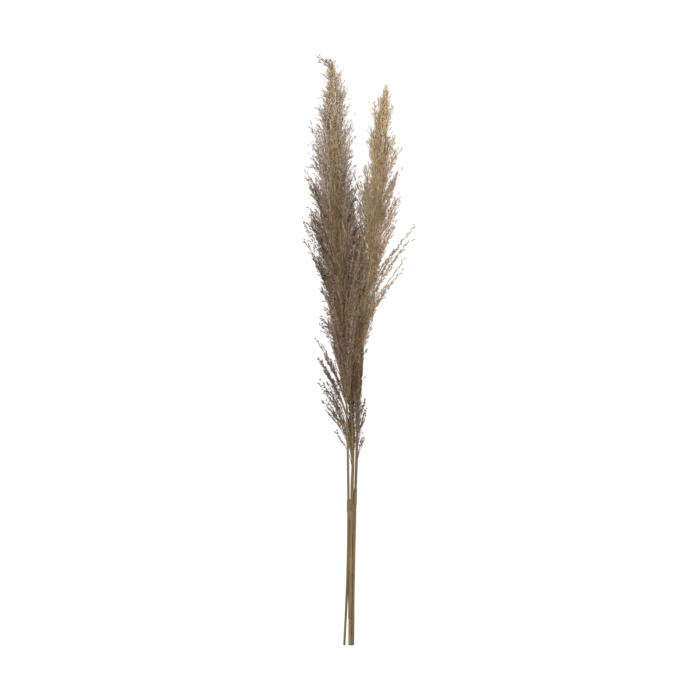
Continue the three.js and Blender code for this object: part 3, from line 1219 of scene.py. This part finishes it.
@dataclass
class Studio:
    """A pale floor, soft lights and a camera that looks straight down."""

    frame_height: float = 1.306  # what the camera sees from top to bottom, in metres
    lens: float = 200.0
    sensor: float = 36.0
    aim_x: float = -0.0201  # how far the camera stands from the bundle's middle
    aim_y: float = 0.0037
    floor_size: float = 8.0
    floor_depth: float = 0.02
    lit_height: float = 0.03  # the height that the lights face
    room_light: float = 0.85

    def build(self) -> None:
        """Sets up the floor, the lights and the camera."""
        self._floor()
        self._camera()
        self._light("key", (-0.9, 0.6, 2.6), 3.2, 66.0)
        self._light("fill", (1.2, -0.6, 2.6), 3.2, 44.0)
        world = bpy.data.worlds.new("soft_room")
        bpy.context.scene.world = world
        world.use_nodes = True
        background = world.node_tree.nodes["Background"]
        background.inputs["Color"].default_value = (1.0, 1.0, 1.0, 1.0)
        background.inputs["Strength"].default_value = self.room_light
        bpy.context.scene.view_settings.view_transform = "Standard"

    def _floor(self) -> None:
        """A wide thin slab whose top is the surface that the bundle lies on."""
        half = self.floor_size / 2
        corners = [(-half, -half), (half, -half), (half, half), (-half, half)]
        points = np.array([(x, y, z) for z in (-self.floor_depth, 0.0) for x, y in corners])
        rim = [(k, (k + 1) % 4, (k + 1) % 4 + 4, k + 4) for k in range(4)]
        faces = np.array([(3, 2, 1, 0), (4, 5, 6, 7), *rim])
        floor = make_mesh("floor", points, faces, FloorFinish().material())
        floor.data.polygons.foreach_set("use_smooth", np.zeros(len(faces), bool))

    def _camera(self) -> None:
        """A camera straight above, as far off as its lens needs."""
        data = bpy.data.cameras.new("camera")
        data.lens = self.lens
        data.sensor_width = self.sensor
        camera = bpy.data.objects.new("camera", data)
        middle = (CAD_BOX[0][2] + CAD_BOX[1][2]) / 2
        camera.location = (self.aim_x, self.aim_y, middle + self.frame_height * self.lens / self.sensor)
        bpy.context.scene.collection.objects.link(camera)
        bpy.context.scene.camera = camera

    def _light(self, name: str, place: tuple[float, float, float], size: float, power: float) -> None:
        """Hangs a square soft light that faces the bundle.

        Args:
            name: its name.
            place: where it hangs.
            size: the length of its sides.
            power: how strong it is, in watts.
        """
        data = bpy.data.lights.new(name, "AREA")
        data.size = size
        data.energy = power
        light = bpy.data.objects.new(name, data)
        light.location = place
        aim = Vector((0, 0, self.lit_height) - np.array(place))
        light.rotation_euler = aim.to_track_quat("-Z", "Y").to_euler()
        bpy.context.scene.collection.objects.link(light)


# ---- This bundle ----

# Painted light and shade, in part: the gold tones stand partly for hairs that face the lamps, the taupe
# tones partly for hairs in shade, and the dark ends of both partly for painted shade deep in the plumes.
TAUPE_TONES = [(0.0, srgb(78, 62, 52)), (0.3, srgb(128, 111, 97)), (0.6, srgb(172, 155, 139)),
               (1.0, srgb(228, 215, 202))]
GOLD_TONES = [(0.0, srgb(86, 64, 40)), (0.3, srgb(138, 111, 78)), (0.6, srgb(190, 160, 118)),
              (1.0, srgb(250, 226, 186))]
SILK = HairFinish("silky_hair", TAUPE_TONES, GOLD_TONES)
OLIVE_CANE = CaneFinish("olive_cane", srgb(136, 118, 74), srgb(112, 93, 58), srgb(80, 60, 38))
BROWN_CANE = CaneFinish("brown_cane", srgb(118, 97, 64), srgb(98, 78, 50), srgb(74, 56, 36))
TAUPE_CANE = CaneFinish("taupe_cane", srgb(116, 96, 68), srgb(96, 77, 53), srgb(68, 52, 37))
DRY_LEAF = CaneFinish("dry_leaf", srgb(126, 106, 68), srgb(104, 83, 54), srgb(78, 60, 41), roughness=0.6)

CORE_SEEDS = Seeds(0.0046, 0.0070, 0.0007, 0.10, 6, 0.0120, 0.00048, 0.15, 0.00018)
BEADED_SEEDS = Seeds(0.0055, 0.0072, 0.0013, 0.22, 4, 0.0085, 0.00042, 0.26, 0.00026)
CURLY_SEEDS = Seeds(0.0034, 0.0048, 0.0011, 0.30, 6, 0.0062, 0.00046, 0.42, 0.00045)
WHEAT_SEEDS = Seeds(0.0042, 0.0080, 0.0016, 0.30, 4, 0.0080, 0.00042, 0.24, 0.00030)

FUR = Feather(CORE_SEEDS, bare=0.1)
SPRAY = Feather(BEADED_SEEDS, pitch=0.0088, length=0.033, angle=0.33, bare=0.2)
SHORT_SPRAY = Feather(BEADED_SEEDS, pitch=0.008, length=0.024, angle=0.32, bare=0.2)
CURLY = Feather(CURLY_SEEDS, pitch=0.0062, length=0.020, angle=0.22, bare=0.58, radius=0.0008)
LATE_CURLY = Feather(CURLY_SEEDS, pitch=0.006, length=0.011, angle=0.22, bare=0.62, radius=0.0006)
SKIRT = Feather(CURLY_SEEDS, bare=0.1)
TUFT = Feather(BEADED_SEEDS, pitch=0.0075, length=0.018, angle=0.26, bare=0.3)
WHEAT = Feather(WHEAT_SEEDS, pitch=0.0050, length=0.013, angle=0.28, bare=0.3, radius=0.0005)
WISP = Feather(BEADED_SEEDS, pitch=0.009, length=0.013, angle=0.25, bare=0.15, radius=0.0005)

MIDRIB = {"lean": 0.2, "curl": 0.05, "topmost": 0.985, "pull": 0.0}  # a layer close along the cane

CANES = [
    Culm("front", BROWN_CANE, joints=(0.27, 0.5),
         bow=[(0, 0), (80, 0.2), (127, 0.7), (202, 0.6), (238, 0.3), (400, 0)],
         fullness=[(0, 1.06), (60, 1.1), (80, 1.15), (127, 1.35), (202, 1.42), (238, 1.31), (296, 1.27),
                   (343, 1.28), (430, 1.1), (500, 1)]),
    Culm("back", OLIVE_CANE, joints=(0.16, 0.36),
         bow=[(0, -0.4), (80, -0.1), (110, -0.35), (155, -0.05), (202, 0.3), (296, 0.3), (315, 0.5),
              (343, 1.3), (430, 0.4), (500, 0)],
         fullness=[(0, 1.2), (60, 1.28), (99, 1.44), (127, 1.48), (155, 1.4), (202, 1.28), (315, 1.36),
                   (343, 1.1), (430, 1)]),
    Culm("right", TAUPE_CANE, joints=(0.29,),
         bow=[(0, -0.2), (80, -0.9), (127, -0.9), (202, -1.05), (238, -1.1), (262, -1.3), (296, -1.0),
              (343, -0.6), (430, 0)],
         fullness=[(0, 1.04), (80, 1.1), (127, 1.1), (202, 1.24), (250, 1.28), (290, 1.1), (343, 1.2),
                   (430, 1.05)]),
]

SHEATHS = [
    Sheath("front", DRY_LEAF, 84, 226, flap=0.0055),
    Sheath("back", DRY_LEAF, 50, 170, seed=6),
    Sheath("right", DRY_LEAF, -40, 260, seed=7),
]

PLUMES = [
    Plume(
        "front", Slot.GOLDEN, SILK,
        left=[(0, 4), (0.045, 13), (0.13, 23), (0.28, 31), (0.43, 35), (0.58, 37), (0.73, 33), (0.83, 25),
              (0.88, 14), (0.94, 8), (0.98, 4), (1, 1)],
        right=[(0, 3), (0.045, 9), (0.13, 17), (0.28, 27), (0.43, 31), (0.58, 34), (0.73, 29), (0.83, 25),
               (0.88, 19), (0.94, 15), (0.97, 13), (0.985, 7), (1, 1)],
        height=18,
        # Painted light and shade, in part: the golden, lighter upper core stands partly for hairs that face
        # the lamps, and the darker, greyer lower part partly for the shade in the dense base, besides the
        # hairs' own darker colour there.
        light=[(0, 0.37), (0.1, 0.34), (0.3, 0.34), (0.4, 0.32), (0.5, 0.42), (0.6, 0.46), (0.72, 0.58),
               (0.8, 0.68), (0.93, 0.78), (1, 0.92)],
        warmth=[(0, -0.45), (0.15, -0.35), (0.35, -0.1), (0.5, 0), (1, 0)],
        layers=[
            Layer(680, FUR, (0.05, 0.1), (0.0, 1.0), 1.0, gathered=0.65, lean=0.5, curl=0.08,
                  topmost=0.985, highest=0.95,
                  within=((0, 1.0), (0.3, 0.95), (0.45, 0.78), (0.6, 0.62), (0.9, 0.5), (1, 0.5))),
            Layer(220, FUR, (0.04, 0.07), (0.0, 0.3), 1.0, 0.02, **MIDRIB),
            Layer(60, FUR, (0.05, 0.08), (0.0, 0.4), 1.0, 0.02, lowest=0.72, **MIDRIB),
            Layer(30, SHORT_SPRAY, (0.05, 0.09), (0.5, 1.1), 0.25, flat=1.6, lowest=0.8, highest=0.93,
                  topmost=0.985, pull=0.0),
            Layer(150, SPRAY, (0.13, 0.23), (0.35, 1.05), 0.2, -0.02, flat=1.8, lean=0.4, curl=0.8,
                  lowest=-0.01, highest=0.86, topmost=0.95),
            Layer(26, SPRAY, (0.11, 0.18), (0.95, 1.3), 0.2, flat=0.9, lean=0.5, curl=1.0, lowest=0.35,
                  highest=0.72, topmost=0.9),
        ],
        tufts=[Tuft(0.36, 27, 0.2, 12, 5), Tuft(0.41, 31, 0.2, 12, 5), Tuft(0.46, 34, 0.2, 12, 5),
               Tuft(0.3, 22, 0.18, 12, 5), Tuft(0.24, 18, 0.16, 12, 5), Tuft(0.33, -22, 0.18, 10, 5),
               Tuft(0.22, -16, 0.16, 10, 5), Tuft(0.955, 10, 0.1, 6, 2)],
        tuft_feather=TUFT, tuft_tint=(0.35, 0.04), pieces=5, seed=11),
    Plume(
        # Painted shade, in part: this plume lies behind the others, and its greyer, darker hairs stand
        # partly for the shade that it lies in.
        "back", Slot.TAUPE, SILK,
        left=[(-0.1, 6), (0, 9), (0.1, 22), (0.25, 32), (0.36, 39), (0.5, 43), (0.63, 44), (0.77, 37),
              (0.86, 30), (0.92, 18), (0.97, 10), (1, 3)],
        right=[(-0.1, 6), (0, 9), (0.1, 22), (0.25, 35), (0.36, 42), (0.5, 44), (0.63, 40), (0.77, 28),
               (0.86, 22), (0.92, 14), (0.97, 12), (1, 3)],
        height=18,
        light=[(0, 0.2), (0.4, 0.26), (0.6, 0.36), (0.75, 0.5), (0.85, 0.68), (1, 0.75)],
        layers=[
            Layer(360, FUR, (0.06, 0.11), (0.0, 1.0), 0.45, lean=0.6, curl=0.1, topmost=0.97,
                  highest=0.93, within=((0, 1.0), (0.5, 0.9), (1, 0.7))),
            Layer(180, SPRAY, (0.13, 0.22), (0.4, 1.05), 0.12, -0.02, flat=2.0, lean=0.4, curl=0.85,
                  highest=0.88, topmost=0.96),
            Layer(110, SKIRT, (0.04, 0.09), (0.0, 1.0), 0.15, -0.01, lowest=-0.17, highest=0.06),
        ],
        tufts=[Tuft(0.4, 36, 0.16, 12, 4), Tuft(0.44, 40, 0.16, 12, 4), Tuft(0.47, 36, 0.16, 12, 4),
               Tuft(0.5, 41, 0.16, 12, 4), Tuft(0.53, 34, 0.16, 12, 4), Tuft(0.56, 37, 0.16, 12, 4),
               Tuft(0.59, 32, 0.15, 12, 4), Tuft(0.63, 31, 0.15, 12, 4), Tuft(0.67, 29, 0.15, 10, 4),
               Tuft(0.45, -41, 0.16, 10, 4), Tuft(0.58, -43, 0.16, 10, 4), Tuft(0.68, -41, 0.15, 10, 4)],
        tuft_feather=TUFT, tuft_tint=(0.12, -0.05), pieces=4, seed=12),
    Plume(
        "right", Slot.GOLDEN, SILK,
        left=[(0, 8), (0.1, 10), (0.25, 22), (0.4, 38), (0.52, 40), (0.62, 33), (0.69, 25), (0.755, 20),
              (0.77, 15), (0.8, 16), (0.875, 17), (0.89, 12), (0.92, 13), (0.95, 15), (0.965, 7), (1, 1)],
        right=[(0, 8), (0.12, 8), (0.18, 11), (0.24, 10), (0.42, 14), (0.54, 22), (0.62, 28), (0.69, 27),
               (0.72, 23), (0.8, 21), (0.84, 17), (0.86, 14), (0.95, 12), (0.975, 6), (1, 1)],
        height=20,
        light=[(0, 0.29), (0.15, 0.36), (0.22, 0.46), (0.35, 0.56), (0.5, 0.62), (0.6, 0.62), (0.7, 0.68),
               (0.77, 0.72), (0.85, 0.76), (0.92, 0.85), (1, 0.92)],
        layers=[
            Layer(700, FUR, (0.05, 0.09), (0.0, 1.0), 0.98, gathered=0.62, lean=0.55, curl=0.05,
                  topmost=0.985, highest=0.95,
                  within=((0, 1.0), (0.5, 1.0), (0.7, 0.85), (0.9, 1.0), (1, 1.0))),
            Layer(260, FUR, (0.04, 0.07), (0.0, 0.35), 0.98, **MIDRIB),
            Layer(90, SHORT_SPRAY, (0.1, 0.18), (0.45, 1.05), 0.6, -0.08, flat=2.0, lean=0.35, curl=0.5,
                  highest=0.9, topmost=0.97),
            Layer(50, SKIRT, (0.04, 0.09), (0.3, 1.0), 0.15, lowest=-0.1, highest=0.02),
        ],
        tufts=[Tuft(0.758, -27), Tuft(0.84, -19), Tuft(0.875, -19), Tuft(0.95, -18, 0.08),
               Tuft(0.955, 12, 0.08), Tuft(0.84, 24), Tuft(0.805, 31), Tuft(0.73, 33), Tuft(0.7, 27),
               Tuft(0.66, 40), Tuft(0.62, 34), Tuft(0.575, 33), Tuft(0.53, 25), Tuft(0.655, -33),
               Tuft(0.69, -26), Tuft(0.49, 21), Tuft(0.35, 18, 0.15), Tuft(0.38, 20, 0.15),
               Tuft(0.31, 16, 0.13), Tuft(1.0, 2, 0.07, 6, 0.8), Tuft(0.52, -24, 0.2, 12, 5),
               Tuft(0.47, -28, 0.2, 12, 5), Tuft(0.42, -31, 0.2, 12, 5), Tuft(0.37, -33, 0.2, 12, 5),
               Tuft(0.3, -26, 0.18, 12, 5), Tuft(0.57, -20, 0.18, 10, 4)],
        tuft_feather=TUFT, tuft_tint=(0.62, -0.04), pieces=4, seed=13),
]

LOOSE_GROUPS = [
    LooseGroup("back_low_branch", "back", Side.LEFT, Slot.TAUPE, CURLY, (0.28, 0.27),
               insets=(18, 6, 3, 3, 3, 2), twigs=5, apart=0.06, spread=0.007, late=0.8),
    LooseGroup("right_low_branch", "right", Side.RIGHT, Slot.TAUPE, LATE_CURLY, (0.22, 0.25),
               insets=(10, 8, 7), twigs=4, apart=0.07, spread=0.003, late=0.4, short=0.05),
    LooseGroup("right_stray_branch", "right", Side.RIGHT, Slot.GOLDEN, WHEAT, (0.5, 0.56),
               insets=(0, 0, 0), back=0.02, twigs=4, apart=0.13, spread=0.005),
    LooseGroup("back_side_branch", "back", Side.LEFT, Slot.TAUPE, SPRAY, (0.15, 0.3),
               insets=(0, 0, 0, 0), back=0.08, late=0.2),
    LooseGroup("right_side_branch", "right", Side.LEFT, Slot.GOLDEN, SHORT_SPRAY, (0.5, 0.5),
               insets=(0,), back=0.09),
    LooseGroup("right_side_branch", "right", Side.RIGHT, Slot.GOLDEN, SHORT_SPRAY, (0.5, 0.5),
               insets=(0,), back=0.08, first=2),
    LooseGroup("front_tip_branch", "front", Side.LEFT, Slot.TAUPE, WISP, (0.3, 0.45),
               insets=(0,), first=0, twigs=8, apart=0.09, spread=0.006, late=0.6, short=-0.14),
]


def main() -> None:
    """Builds the bundle, piece by piece, and the studio round it."""
    logging.basicConfig(level=logging.INFO, format="%(message)s")
    Studio().build()
    spines = {}
    for cane in CANES:
        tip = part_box(f"{cane.name}_plume")[1].y
        spines[cane.name] = Spine(f"{cane.name}_culm", tip, cane.bow, cane.fullness)
        cane.build(spines[cane.name])
    for sheath in SHEATHS:
        sheath.build(spines[sheath.name])
    for plume in PLUMES:
        plume.build(spines[plume.name])
    silk = SILK.material()
    rng = np.random.default_rng(LOOSE_SEED)
    for group in LOOSE_GROUPS:
        group.build(spines[group.owner], silk, rng)


if __name__ == "__main__":
    main()
